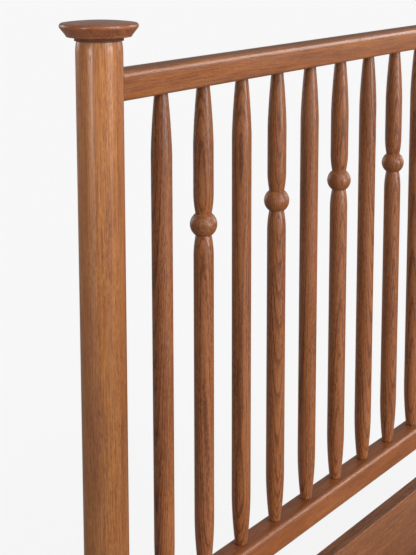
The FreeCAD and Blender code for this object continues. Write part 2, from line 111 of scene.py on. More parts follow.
def fan(pole, ring, upwards):
    """Triangles from a pole to each side of a ring of vertex numbers."""
    beside = np.roll(ring, -1)
    corners = (beside, ring) if upwards else (ring, beside)
    return np.stack([np.full(len(ring), pole), *corners], axis=-1)


def tube(rows, poles=(None, None)):
    """Vertices, quads and triangles of rows (m, n, 3), with an optional pole at either end."""
    count, around = rows.shape[:2]
    vertices = [rows.reshape(-1, 3)]
    triangles = [np.zeros((0, 3), int)]
    for end, pole in enumerate(poles):
        if pole is not None:
            number = sum(len(v) for v in vertices)
            vertices.append(np.reshape(pole, (1, 3)))
            ring = np.arange(around) + (count - 1) * around * end
            triangles.append(fan(number, ring, end == 0))
    return np.concatenate(vertices), join_rows(count, around), np.concatenate(triangles)


def joined(shells):
    """Several (vertices, quads, triangles) as one."""
    starts = np.cumsum([0] + [len(s[0]) for s in shells[:-1]])
    moved = [(v, quads + start, tris + start) for (v, quads, tris), start in zip(shells, starts)]
    return tuple(np.concatenate(parts) for parts in zip(*moved))


def outward(shell):
    """The shell with its faces pointing out, found from the sign of the volume that it holds."""
    vertices, quads, triangles = shell
    every = np.concatenate([quads[:, [0, 1, 2]], quads[:, [0, 2, 3]], triangles])
    a, b, c = (vertices[every[:, k]] for k in range(3))
    if np.einsum("ij,ij->", a, np.cross(b, c)) < 0:
        return vertices, quads[:, ::-1], triangles[:, ::-1]
    return shell


def mesh_object(name, vertices, faces):
    """A smooth mesh object with its vertices in metres."""
    mesh = bpy.data.meshes.new(name)
    mesh.from_pydata(vertices.tolist(), [], faces)
    if mesh.validate():
        raise ValueError(f"{name} had faces that Blender had to mend")
    mesh.shade_smooth()
    piece = bpy.data.objects.new(name, mesh)
    bpy.context.scene.collection.objects.link(piece)
    return piece


dressed = {}


def make_piece(name, shell, node, grain=None, edge=None, stave=None, sharp=40.0,
               body="bed_frame"):
    """A piece from a shell in millimetres, which stands for a CAD node and rides on its body.

    Its material reads up to three attributes of its points: grain is the place in the tree,
    edge is 1 where hands wear it and -1 at joints, which are painted dark as painted shade and
    gathered stain, and stave numbers glued strips.
    """
    vertices, quads, triangles = shell
    piece = mesh_object(name, vertices * MM, quads.tolist() + triangles.tolist())
    piece.data.set_sharp_from_angle(angle=math.radians(sharp))
    for label, values, kind, field in (("grain", grain, "FLOAT_VECTOR", "vector"),
                                       ("edge", edge, "FLOAT", "value"),
                                       ("stave", stave, "FLOAT", "value")):
        if values is not None:
            store = piece.data.attributes.new(label, kind, "POINT")
            store.data.foreach_set(field, np.asarray(values, np.float32).ravel())
    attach(piece, body)
    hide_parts(node)
    dressed[node] = piece


print("a grid of 2 x 4 points has", len(join_rows(2, 4)), "quads")

# %% [markdown]
# ## Outlines of turned work
#
# A turner cuts a piece between two centres, so it is fully described by its outline: a list of
# radii and heights. Straight runs need few points and arcs need many, and both are put
# together from the same kind of steps as the solids'.

# %% Outlines


def arc_through(start, middle, end, steps):
    """Points of the circle through three (r, z) points, from start to end, without the start.

    Its centre is equally far from all three, which gives two equations for its two numbers.
    """
    (ax, ay), (bx, by), (cx, cy) = start, middle, end
    a2, b2, c2 = ax**2 + ay**2, bx**2 + by**2, cx**2 + cy**2
    d = 2 * (ax * (by - cy) + bx * (cy - ay) + cx * (ay - by))
    ux = (a2 * (by - cy) + b2 * (cy - ay) + c2 * (ay - by)) / d
    uy = (a2 * (cx - bx) + b2 * (ax - cx) + c2 * (bx - ax)) / d
    radius = math.hypot(ax - ux, ay - uy)
    turns = np.unwrap([math.atan2(y - uy, x - ux) for x, y in (start, middle, end)])
    angles = np.concatenate([np.linspace(turns[0], turns[1], steps // 2 + 1),
                             np.linspace(turns[1], turns[2], steps // 2 + 1)[1:]])[1:]
    return np.stack([ux + radius * np.cos(angles), uy + radius * np.sin(angles)], axis=1)


def leaving_swell(length, step):
    """How far an arc bulges that leaves a straight stem smoothly and steps out over a length.

    Its chord has c^2 = length^2 + step^2, its radius is R = c^2 / (2 step), and the bulge is
    R - sqrt(R^2 - c^2 / 4).
    """
    radius = (length**2 + step**2) / (2 * step)
    return radius - math.sqrt(radius**2 - (length**2 + step**2) / 4)


class Outline:
    """An (r, z) outline made of straight runs and arcs, with an edge weight for each point."""

    def __init__(self, r, z):
        self.points = [np.array([[r, z]])]
        self.edges = [np.zeros(1)]

    def add(self, points, edge):
        """Appends points that share an edge weight."""
        self.points.append(points)
        self.edges.append(np.full(len(points), float(edge)))
        return self

    def run(self, r, z, steps=1, edge=0.0):
        """A straight run to (r, z)."""
        last = self.points[-1][-1]
        share = np.linspace(0, 1, steps + 1)[1:, None]
        return self.add(last + share * (np.array([r, z]) - last), edge)

    def arc(self, middle, end, steps=12, edge=0.0):
        """An arc through a middle to an end."""
        return self.add(arc_through(self.points[-1][-1], middle, end, steps), edge)

    def swell(self, r, z, swell, steps=12, edge=0.0):
        """An arc whose middle stands swell outside the straight run to (r, z)."""
        last = self.points[-1][-1]
        run = np.array([r, z]) - last
        side = 1 if run[1] > 0 else -1
        across = side * swell * np.array([run[1], -run[0]]) / math.hypot(*run)
        return self.arc(last + run / 2 + across, (r, z), steps, edge)

    def table(self):
        """All points, and all weights."""
        return np.concatenate(self.points), np.concatenate(self.edges)


def turned(outline, centre, around=96, axis=2):
    """A shell with the outline turned once round an axis through centre, and its edge weights.

    Both ends of the outline lie on the axis, which is Z (2) or, with all numbers rolled on by
    one, X (0). Each point goes to (r cos t, r sin t, z) for t from 0 to a full turn.
    """
    points, weights = outline.table()
    rows = spun(points[1:-1, :1], points[1:-1, 1], full_turn(around))
    ends = np.array([(0, 0, points[k, 1]) for k in (0, -1)])
    rows, ends = (np.roll(grid, axis + 1, axis=-1) + centre for grid in (rows, ends))
    return outward(tube(rows, ends)), np.concatenate([np.repeat(weights[1:-1], around), [0, 0]])


print("an edge eased by 1.3 mm over 13 mm bulges", round(leaving_swell(13, 1.3), 3), "mm")

# %% [markdown]
# ## Where the grain runs
#
# Wood shows growth rings, and each piece is cut from a different place in a different tree. The
# attribute "grain" stores, for each point, where it lay in its tree: the first two numbers are
# millimetres across the trunk, measured from the pith, and the third runs along the fibres.
# A material that reads it shows end grain, cathedrals and stripes where they belong.

# %% Grain places
luck = np.random.default_rng(41)
# Which of X, Y and Z lie across the trunk, and which along it, when the fibres run along one.
TRUNK_ORDER = {"x": (1, 2, 0), "y": (2, 0, 1), "z": (0, 1, 2)}


def grain_places(vertices, centre, along, pith_distance, pith_turn, slant=(0.0, 0.0)):
    """Each vertex in its tree: the piece's centre lies pith_distance from the pith, at pith_turn.

    With a slant, the fibres leave the piece's own line by that much across for each step along.
    """
    local = (vertices - np.asarray(centre, float))[:, TRUNK_ORDER[along]]
    local[:, :2] += local[:, 2:] * slant
    local[:, 0] += pith_distance * math.cos(pith_turn)
    local[:, 1] += pith_distance * math.sin(pith_turn)
    local[:, 2] += luck.uniform(0, 5000)
    return local


print("fibres can run along", ", ".join(TRUNK_ORDER))

# %% [markdown]
# ## Posts
#
# A post is a plain round pole with an eased top edge and a small chamfer at the foot. On its
# outer side two counterbores take the heads of the bed bolts. There the grid has a window:
# its quads are left out, and rings that shrink from the window's border to the round hole take
# their place, so that the surface stays a true cylinder right up to the hole's rim.

# %% Posts
AROUND_POST = 96  # grid points once round a post
WINDOW, WINDOW_STEP = 8, 1.75  # grid steps to a window's border, and their height
WINDOW_RINGS = 6  # rings from that border to the hole's rim
HOLE_RADIUS, HOLE_FLOOR = 9.0, 18.98  # the counterbore, and how far out its floor lies
RIM_RADIUS, RIM_DEPTH = 9.4, 0.4
FOOT_CHAMFER = 1.5
EASE_HEIGHT, EASE_DEPTH = 13.0, 1.3  # the eased edge at the top


def window_rings(height):
    """Rings from a window's border to the floor of its counterbore, on the side that faces +Y.

    A ring's point is (1 - t) * border + t * rim circle in X and Z. Its Y is sqrt(R^2 - X^2) on
    the post, and a plain depth inside the hole.
    """
    span = np.arange(-WINDOW, WINDOW)
    full = np.full(2 * WINDOW, WINDOW)
    columns = np.concatenate([span, full, -span, -full])
    lines = np.concatenate([-full, span, full, -span])
    x = POST_RADIUS * np.sin(columns * 2 * np.pi / AROUND_POST)
    z = lines * WINDOW_STEP
    turn = np.arctan2(z, x)
    circle = np.stack([np.cos(turn), np.sin(turn)], axis=1)
    border = np.stack([x, z], axis=1)
    rings = []
    for share in np.linspace(0, 1, WINDOW_RINGS):
        flat = (1 - share) * border + share * RIM_RADIUS * circle
        depth = np.sqrt(POST_RADIUS**2 - flat[:, 0] ** 2)
        rings.append(np.stack([flat[:, 0], depth, flat[:, 1]], axis=1))
    flat = HOLE_RADIUS * circle
    depth = np.sqrt(POST_RADIUS**2 - flat[:, 0] ** 2) - RIM_DEPTH
    for level in (depth, np.full(len(flat), HOLE_FLOOR)):
        rings.append(np.stack([flat[:, 0], level, flat[:, 1]], axis=1))
    return columns, lines, np.array(rings) + (0, 0, height)


def post_outline(foot, top):
    """A chamfered foot, a plain pole and an eased top edge, with even rows for the windows."""
    rows = [np.arange(-WINDOW, WINDOW + 1) * WINDOW_STEP + h for h in BOLT_HEIGHTS]
    outline = Outline(0, foot).run(POST_RADIUS - FOOT_CHAMFER, foot)
    outline.run(POST_RADIUS, foot + FOOT_CHAMFER, edge=0.6)
    for z in np.concatenate([np.arange(30, 180, 30), rows[0], [240, 260, 280], rows[1]]):
        outline.run(POST_RADIUS, z)
    outline.run(POST_RADIUS, top - EASE_HEIGHT, steps=int((top - 340) / 25))
    outline.swell(POST_RADIUS - EASE_DEPTH, top, leaving_swell(EASE_HEIGHT, EASE_DEPTH))
    # The middle of the top, under the cap, gets -1: it is painted dark, as painted shade and
    # gathered stain.
    outline.edges[-1][-1] = -1.0
    return outline.run(0, top)


def post_shell(top, side, end):
    """A post with windows for its counterbores, and the edge weight of each vertex."""
    foot = post_low[2]
    points, edges = post_outline(foot, top).table()
    rows = spun(points[1:-1, :1], points[1:-1, 1], full_turn(AROUND_POST))[..., (1, 0, 2)]
    vertices, quads, triangles = tube(rows, [(0, 0, foot), (0, 0, top)])
    weights = np.concatenate([np.repeat(edges[1:-1], AROUND_POST), [0, 0]])
    row, column = np.divmod(quads[:, 0], AROUND_POST)
    column = (column + AROUND_POST // 2) % AROUND_POST - AROUND_POST // 2
    keep = np.ones(len(quads), bool)
    extra_vertices, extra_quads, extra_triangles = [], [], []
    count = len(vertices)
    for h in BOLT_HEIGHTS:
        low = int(np.argmin(abs(points[1:-1, 1] - (h - WINDOW * WINDOW_STEP))))
        inside = (row >= low) & (row < low + 2 * WINDOW) & (column >= -WINDOW) & (column < WINDOW)
        keep &= ~inside
        columns, lines, rings = window_rings(h)
        border = (low + WINDOW + lines) * AROUND_POST + columns % AROUND_POST
        inner = rings[1:].reshape(-1, 3)
        number = len(columns)
        index = np.concatenate([border[None], count + np.arange(len(inner)).reshape(-1, number)])
        beside = np.roll(index, -1, axis=1)
        ring_quads = np.stack([index[:-1], index[1:], beside[1:], beside[:-1]], axis=-1)
        extra_quads.append(ring_quads.reshape(-1, 4))
        pole = count + len(inner)
        extra_triangles.append(np.stack([index[-1], np.full(number, pole), beside[-1]], axis=1))
        extra_vertices += [inner, [(0, HOLE_FLOOR, h)]]
        rim = np.arange(len(inner)) // number == WINDOW_RINGS - 2
        weights = np.concatenate([weights, np.where(rim, 0.7, 0.0), [0]])
        count = pole + 1
    vertices = np.concatenate([vertices, *extra_vertices])
    # The windows' faces are wound the other way from the grid's, so the grid's are turned over.
    quads = np.concatenate([quads[keep][:, ::-1], *extra_quads])
    triangles = np.concatenate([triangles[:, ::-1], *extra_triangles])
    # A foot post is the same post turned half round, so that its bolts face the foot end.
    vertices = vertices * (end, end, 1.0) + (side * post_x, end * post_y, 0)
    return outward((vertices, quads, triangles)), weights


CORNERS = [("head", "left", -1, 1), ("head", "right", 1, 1),
           ("foot", "left", -1, -1), ("foot", "right", 1, -1)]
STRIP_TURN = math.radians(-52)  # the posts are glued up from strips that face this way
STRIP_WIDTH, STRIP_START = 20.0, 2.8
for end_name, side_name, side, end in CORNERS:
    node = f"{end_name}_post_{side_name}"
    top = node_box(node)[1][2]
    shell, edge = post_shell(top, side, end)
    centre = np.array([side * post_x, end * post_y, 0.0])
    grain = grain_places(shell[0], centre, "z", luck.uniform(40, 70), luck.uniform(0, 2 * np.pi))
    across = (shell[0] - centre) @ (math.cos(STRIP_TURN), math.sin(STRIP_TURN), 0)
    stave = (across + STRIP_START) / STRIP_WIDTH + 2.0  # 2 more keeps it above zero
    make_piece(f"turned_{node}", shell, node, grain, edge, stave)
    print(node, len(shell[1]), "quads, top at", round(top, 2))

# %% [markdown]
# ## Caps
#
# Each post carries a mushroom cap: a low collar, a side that widens like a cone, a rounded rim
# and a slightly domed face. The side leaves the lower corner along the line that just touches
# the rim's circle, as a turner's tool would.

# %% Caps


def cap_outline(base):
    """The cap's outline from its underside at height base to the top of its dome.

    The line from the side's foot that touches the rim's circle rises at the angle to the rim's
    middle, less asin(rim round / distance to that middle).
    """
    radius, height, rim_round, rim_drop = 41.5, 21.0, 3.2, 5.7
    face_r, base_r, corner, collar_r, collar = 39.3, 34.7, 1.4, 25.9, 4.0
    rim_r, rim_z, base_z = radius - rim_round, height - rim_drop, collar + corner
    to_rim = math.atan2(rim_z - base_z, rim_r - base_r)
    lift = to_rim - math.asin(rim_round / math.hypot(rim_r - base_r, rim_z - base_z))
    side_end = (rim_r + rim_round * math.sin(lift), base + rim_z - rim_round * math.cos(lift))
    face_z = rim_z + rim_round * math.sin(math.acos((face_r - rim_r) / rim_round))
    # The collar gets an edge weight of -1: it is painted dark, as painted shade under the cap and
    # stain gathered in the joint.
    outline = Outline(0, base).run(collar_r, base, 4, -1.0).run(collar_r, base + collar, 3, -1.0)
    outline.run(base_r - corner, base + collar, 3)
    outline.swell(base_r, base + base_z, corner * (1 - math.cos(math.pi / 4)), 6, edge=0.5)
    outline.run(*side_end, 6).arc((radius, base + rim_z), (face_r, base + face_z), 16, edge=1.0)
    return outline.swell(0, base + height, leaving_swell(face_r, height - face_z), 24)


for end_name, side_name, side, end in CORNERS:
    node = f"{end_name}_cap_{side_name}"
    base = node_box(f"{end_name}_post_{side_name}")[1][2]
    centre = np.array([side * post_x, end * post_y, 0.0])
    shell, edge = turned(cap_outline(base), centre, around=128)
    grain = grain_places(shell[0], centre + (0, 0, base), "x",
                         luck.uniform(45, 80), luck.uniform(-0.4, 0.4) - np.pi / 2)
    make_piece(f"turned_{node}", shell, node, grain, edge, sharp=50)
    print(node, "from", round(base, 2), "to", round(shell[0][:, 2].max(), 2))

# %% [markdown]
# ## Spindles
#
# Seventeen spindles stand between the two headboard rails. Each tapers at both ends, and every
# second one has a round bead between two narrow necks. One outline function makes both kinds.

# %% Spindles


def spindle_outline(low, high, beaded):
    """A spindle from its lower shoulder to its upper one.

    The bead's circle meets the necks at sqrt(bead^2 - neck^2) above and below its middle.
    """
    end_r, body_r, top_taper, top_swell, bottom_taper = 7.6, 12.1, 70.0, 0.6, 73.0
    # Both ends get an edge weight of -1, painted dark where the spindle meets a rail: painted shade
    # and gathered stain.
    outline = Outline(0, low).run(end_r, low, edge=-1.0)
    outline.swell(body_r, low + bottom_taper, leaving_swell(bottom_taper, body_r - end_r), 24)
    if beaded:
        bead_r, bead_drop, neck_r, neck_below, neck_above = 16.25, 166.0, 9.6, 26.0, 25.0
        middle, step = high - bead_drop, body_r - neck_r
        neck_z = math.sqrt(bead_r**2 - neck_r**2)
        outline.run(body_r, middle - neck_z - neck_below, 12)
        outline.swell(neck_r, middle - neck_z, leaving_swell(neck_below, step), 14)
        outline.arc((bead_r, middle), (neck_r, middle + neck_z), 40)
        outline.swell(body_r, middle + neck_z + neck_above, leaving_swell(neck_above, step), 14)
    outline.run(body_r, high - top_taper, 12)
    outline.swell(end_r, high, top_swell, 20)
    outline.edges[-1][-1] = -1.0
    return outline.run(0, high)


rail_low = node_box("head_lower_rail")[1][2]
rail_high = node_box("head_top_rail")[0][2]
spindle_nodes = sorted(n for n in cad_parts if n.startswith("spindle_"))
TOWARDS_PHOTO = math.radians(-146)  # the side of the beads that the photograph shows
for node in spindle_nodes:
    low, high = node_box(node)
    centre = np.array([(low[0] + high[0]) / 2, post_y, 0.0])
    beaded = node.endswith("beaded")
    shell, edge = turned(spindle_outline(rail_low, rail_high, beaded), centre, around=64)
    facing = TOWARDS_PHOTO + luck.uniform(0.0, 0.7) if beaded else luck.uniform(0, 2 * np.pi)
    slant = luck.uniform(-0.07, 0.07, 2)
    middle = centre + (0, 0, (rail_low + rail_high) / 2)
    grain = grain_places(shell[0], middle, "z", luck.uniform(18, 60), facing + np.pi, slant)
    make_piece(f"turned_{node}", shell, node, grain, edge, sharp=45)
print(len(spindle_nodes), "spindles between", round(rail_low, 2), "and", round(rail_high, 2))

# %% [markdown]
# ## Rails and panels of the two ends
#
# The cross pieces are planed bars with rounded long edges. Their ends are scribed, which means
# hollowed so that they sit against the round posts. Such a bar is its rounded section carried
# along X, and the scribe says for each point of the section how far along X it may go.

# %% Scribed bars


def rounded_section(depth, height, bottom_round, top_round, steps=8):
    """Points (y, z) once round a rectangle with rounded corners, and their worn-edge weights."""
    quarter = np.linspace(0, np.pi / 2, steps + 1)
    spots, weights = [], []
    corners = ((1, 1, top_round), (-1, 1, top_round),
               (-1, -1, bottom_round), (1, -1, bottom_round))
    for turn, (sy, sz, r) in enumerate(corners):
        angle = quarter + turn * np.pi / 2
        spots.append(np.stack([sy * (depth / 2 - r) + r * np.cos(angle),
                               sz * (height / 2 - r) + r * np.sin(angle)], axis=1))
        weights.append(np.sin(2 * quarter) ** 2)
    return np.concatenate(spots), np.concatenate(weights)


def fill_between(section, weights, longest):
    """The section with more points on its flat sides, none further apart than longest."""
    beside, beside_weights = np.roll(section, -1, axis=0), np.roll(weights, -1)
    steps = np.maximum(1, np.ceil(np.hypot(*(beside - section).T) / longest)).astype(int)
    number = np.repeat(np.arange(len(section)), steps)
    share = (np.arange(len(number)) - np.repeat(np.cumsum(steps) - steps, steps)) / steps[number]
    points = section[number] + share[:, None] * (beside - section)[number]
    return points, (1 - share) * weights[number] + share * beside_weights[number]


END_STEPS = 5  # how often an end face shrinks towards its middle


def scribed_bar(section, weights, mid_y, mid_z, rows=160):
    """The section carried along X, from one post's round to the other's.

    A point at depth y from the posts' plane ends at X = post_x - sqrt(SCRIBE_RADIUS^2 - y^2), and
    a row at share s of the way along has X = s times that. The end faces are the section shrunk
    to its middle in steps, with the same rule for X. An edge weight of -1 marks the joint.
    """
    def end_x(y):
        return post_x - np.sqrt(SCRIBE_RADIUS**2 - y**2)

    shrunk = np.linspace(0, 1, END_STEPS + 2)[1:-1]
    flat = np.concatenate([section[None] * s for s in shrunk] + [section[None]] * rows
                          + [section[None] * s for s in shrunk[::-1]])
    # Rows close to the ends keep the joint's painted dark band narrow: painted shade and gathered
    # stain.
    along = np.concatenate([[-1, -0.9975], np.linspace(-0.99, 0.99, rows - 4), [0.9975, 1]])
    share = np.concatenate([-np.ones(END_STEPS), along, np.ones(END_STEPS)])
    y, z = flat[..., 0], flat[..., 1]
    grid = np.stack([share[:, None] * end_x(y), y + mid_y, z + mid_z], axis=-1)
    poles = [(s * end_x(0.0), mid_y, mid_z) for s in (-1, 1)]
    worn = np.tile(weights, (rows, 1))
    # The end rows and end faces get -1: painted dark at the posts, as painted shade and gathered
    # stain.
    worn[[0, -1]] = -1.0
    ends = np.full(END_STEPS * len(weights), -1.0)
    edge = np.concatenate([ends, worn.ravel(), ends, [-1.0, -1.0]])
    return outward(tube(grid, poles)), edge


# For each bar: rounding above and below, material slot, distance from the pith and turn to it.
BARS = {
    "head_top_rail": (7.0, 4.0, "rail_wood", 55.0, -0.6),
    "head_lower_rail": (7.0, 4.0, "rail_wood", 70.0, 0.9),
    "head_panel": (1.5, 1.5, "board_wood", 150.0, 1.35),
    "foot_panel": (1.5, 1.5, "board_wood", 165.0, 1.8),
}
LONGEST_STEP = 6.0  # between the points on a section's flat sides
TOP_FACE_PAINTED_SHADE, FLAT_WITHIN = -0.45, 0.01  # the top rail's upper face is painted darker, as painted shade
for node, (top_round, bottom_round, slot, pith_distance, pith_turn) in BARS.items():
    low, high = node_box(node)
    depth, height = high[1] - low[1], high[2] - low[2]
    middle = (low + high) / 2
    section, weights = rounded_section(depth, height, bottom_round, top_round)
    section, weights = fill_between(section, weights, LONGEST_STEP)
    # Painted shade: the top rail's upper face gets a negative edge weight, which paints it darker.
    if node == "head_top_rail":
        weights[section[:, 1] > height / 2 - FLAT_WITHIN] = TOP_FACE_PAINTED_SHADE
    shell, edge = scribed_bar(section, weights, middle[1], middle[2])
    grain = grain_places(shell[0], (0, middle[1], middle[2]), "x", pith_distance, pith_turn)
    make_piece(f"planed_{node}", shell, node, grain, edge, sharp=50)
    print(node, round(depth, 2), "x", round(height, 2), "mm,", len(shell[1]), "quads")

# %% [markdown]
# ## Legs and glides
#
# Two round legs stand under the centre rail, each with a stepped hole in its foot for the insert
# and the stem of its levelling foot. Under each post lies a moulded glide with rounded rims. All
# are turned shapes, so an outline is enough to describe them.

# %% Legs and glides
INSERT_RADIUS, INSERT_DEPTH = 7.1, 16.1  # the wide part of the hole in a leg's foot
STEM_RADIUS, STEM_DEPTH = 4.5, 33.0  # the narrow part above it
LEG_CHAMFER = 1.0
leg_names = ("head_side", "foot_side")
for name in leg_names:
    node = f"centre_leg_{name}"
    low, high = node_box(node)
    foot, top, radius = low[2], high[2], (high[0] - low[0]) / 2
    outline = Outline(0, foot + STEM_DEPTH).run(STEM_RADIUS, foot + STEM_DEPTH)
    outline.run(STEM_RADIUS, foot + INSERT_DEPTH).run(INSERT_RADIUS, foot + INSERT_DEPTH)
    outline.run(INSERT_RADIUS, foot).run(radius - LEG_CHAMFER, foot, 3)
    outline.run(radius, foot + LEG_CHAMFER).run(radius, top, 12).run(0, top)
    shell = turned(outline, np.array([0.0, (low[1] + high[1]) / 2, 0.0]), around=64)[0]
    make_piece(f"turned_{node}", shell, node)

# A glide has a rounded lower rim, a short side and a softer upper rim.
glide = Outline(0, 0).run(19.6, 0, 3).arc((20.59, 0.41), (21.0, 1.4), 8).run(21.0, 3.2, 2)
glide.arc((20.77, 3.77), (20.2, 4.0), 6).run(0, 4.0)
corner_signs = sorted((side, end) for _, _, side, end in CORNERS)
glides = [turned(glide, np.array([side * post_x, end * post_y, 0.0]), around=64)[0]
          for side, end in corner_signs]
make_piece("floor_glides", joined(glides), "post_glides")
print("legs", len(leg_names), "glides", len(glides))

# %% [markdown]
# ## Levelling feet
#
# A levelling foot is a pad, a hexagon for a spanner and a threaded stem that goes up into the
# leg. The thread is a real surface, because a bump would leave its outline smooth. Its radius
# depends on height minus turn, so that the ridges climb round the stem.

# %% Levelling feet
THREAD_PITCH, THREAD_DEPTH, THREAD_FADE = 1.25, 0.61, 1.2
ROWS_PER_TURN = 8


def upright(radii, heights, centre):
    """A closed shell round the vertical through centre, from radii (m, n) at m heights."""
    rows = spun(radii, heights, full_turn(radii.shape[1]))
    return outward(tube(rows + centre, [centre + (0, 0, z) for z in heights[[0, -1]]]))


def threaded(centre, low, high, radius, around=40):
    """A screw thread with a smooth tip.

    Its radius is R - depth * |2 fract(z / pitch - turn) - 1|^1.3, faded out at both ends.
    """
    heights = np.linspace(low, high, int((high - low) / THREAD_PITCH * ROWS_PER_TURN))
    turn = np.arange(around) / around
    phase = (heights[:, None] / THREAD_PITCH - turn[None]) % 1.0
    fade = np.clip(np.minimum(heights - low, high - heights) / THREAD_FADE, 0, 1)[:, None]
    r = radius - THREAD_DEPTH * (1 - fade + fade * abs(2 * phase - 1) ** 1.3)
    return upright(r, heights, centre)


def from_flat(angle):
    """The angle from the middle of a hexagon's nearest side."""
    return (angle + np.pi / 6) % (np.pi / 3) - np.pi / 6


def hexagon(centre, low, high, across, around=96):
    """A nut's hexagon with its corners rounded off above and below.

    A flat side's radius is half the width over cos(angle from its middle). The corners reach no
    further than half the width + 1.1 sqrt(distance to the nearer face).
    """
    flat = across / 2 / np.cos(from_flat(full_turn(around)))
    levels = np.linspace(0, 1, 9)
    to_face = np.clip(np.minimum(levels, 1 - levels) * (high - low), 0, None)
    limit = across / 2 + 1.1 * np.sqrt(to_face)
    r = np.minimum(flat[None], limit[:, None])
    return upright(r, low + levels * (high - low), centre)


HEX_TOP, HEX_WIDTH, THREAD_RADIUS = 10.0, 13.0, 4.0
OVERLAP = 0.1  # each part starts a little inside the one below it
for name in leg_names:
    node = f"levelling_foot_{name}"
    low, high = node_box(node)
    centre = np.array([0.0, (low[1] + high[1]) / 2, 0.0])
    pad = Outline(0, 0).run(16.8, 0, 3).swell(18.0, 1.2, 0.35, 8).run(18.0, 4.5, 3)
    pad.swell(16.5, 6.0, 0.4, 6).run(9.0, 6.0, 2).run(0, 6.0)
    shells = [turned(pad, centre, around=72)[0],
              hexagon(centre, 6.0 - OVERLAP, HEX_TOP, HEX_WIDTH),
              threaded(centre, HEX_TOP - OVERLAP, high[2], THREAD_RADIUS)]
    make_piece(f"screw_{node}", joined(shells), node, sharp=35,
               body=f"{name}_levelling_foot")
    print(node, "reaches", round(high[2], 2))

# %% [markdown]
# ## Bed bolts and cross nuts
#
# The bolts' wide flat heads show in the counterbores on the outer sides of the posts, and each
# has a socket for a hexagonal key. The cross nuts show in round holes in the side rails.

# %% Bed bolts and cross nuts
SEAT, SHANK = 19.0, 94.0  # a head's underside from the post's axis, and its bolt
SHANK_RADIUS, TIP_RADIUS, TIP_HEIGHT = 4.0, 3.2, 1
HEAD_RADIUS, HEAD_HEIGHT, KEY_CORNER, KEY_FLOOR = 8.5, 3.0, 2.5, 1.0
NUT_RADIUS, NUT_HALF, NUT_CHAMFER, NUT_INSET = 7.0, 8.0, 0.7, 65.0


def lying(shell, place, facing):
    """A shell made along Z, laid along Y at place; facing is the Y direction that Z turns to."""
    vertices, quads, triangles = shell
    x, y, z = vertices.T
    return outward((np.stack([x, z * facing, -y * facing], axis=1) + place, quads, triangles))


def bolt_shell(length):
    """A bolt along Z: its head's underside lies at 0, and its shank reaches down to -length.

    The head's socket is the inner part of the grid, whose radius follows the key's hexagon.
    """
    turns = full_turn(48)
    key = KEY_CORNER / np.cos(from_flat(turns)) * np.cos(np.pi / 6)
    profile = [(TIP_RADIUS, -length), (SHANK_RADIUS, -length + TIP_HEIGHT), (SHANK_RADIUS, 0.0),
               (HEAD_RADIUS, 0.0), (HEAD_RADIUS, 2.2), (8.3, 2.7), (7.8, HEAD_HEIGHT),
               (key + 0.5, HEAD_HEIGHT), (key, 2.7), (key, KEY_FLOOR)]
    radii = np.array([r + 0 * turns for r, _ in profile])
    rows = spun(radii, [z for _, z in profile], turns)
    return tube(rows, [(0, 0, -length), (0, 0, KEY_FLOOR)])


rim, flank = NUT_RADIUS - NUT_CHAMFER, NUT_HALF - NUT_CHAMFER
nut = Outline(0, -NUT_HALF).run(rim, -NUT_HALF, 2).run(NUT_RADIUS, -flank)
nut.run(NUT_RADIUS, flank, 6).run(rim, NUT_HALF).run(0, NUT_HALF, 2)
bolts, nuts = [], []
for side, end in corner_signs:
    for z in BOLT_HEIGHTS:
        place = np.array([side * post_x, end * (post_y + SEAT), z])
        bolts.append(lying(bolt_shell(SHANK), place, end))
        centre = np.array([side * post_x, end * (post_y - NUT_INSET), z])
        nuts.append(turned(nut, centre, around=48, axis=0)[0])
make_piece("bed_bolt_set", joined(bolts), "bed_bolts", sharp=35)
make_piece("cross_nut_set", joined(nuts), "barrel_nuts", sharp=35)
print("bolts", len(bolts), "cross nuts", len(nuts))

# %% [markdown]
# ## A pen for shader maths
#
# Materials are node trees. Writing them as Python expressions keeps the formulas readable, so a
# small class wraps a socket and turns + - * / into Math nodes, and one method adds any other
# node from its type, its settings and the values or links of its sockets.

# %% Shader maths


class Value:
    """A number in a material's node tree. Arithmetic on it adds Math nodes."""

    def __init__(self, pen, socket):
        self.pen, self.socket = pen, socket

    def __add__(self, other):
        return self.pen.maths("ADD", self, other)

    def __sub__(self, other):
        return self.pen.maths("SUBTRACT", self, other)

    def __mul__(self, other):
        return self.pen.maths("MULTIPLY", self, other)

    def __truediv__(self, other):
        return self.pen.maths("DIVIDE", self, other)

    def __rsub__(self, other):
        return self.pen.maths("SUBTRACT", other, self)

    def __rtruediv__(self, other):
        return self.pen.maths("DIVIDE", other, self)

    __radd__, __rmul__ = __add__, __mul__


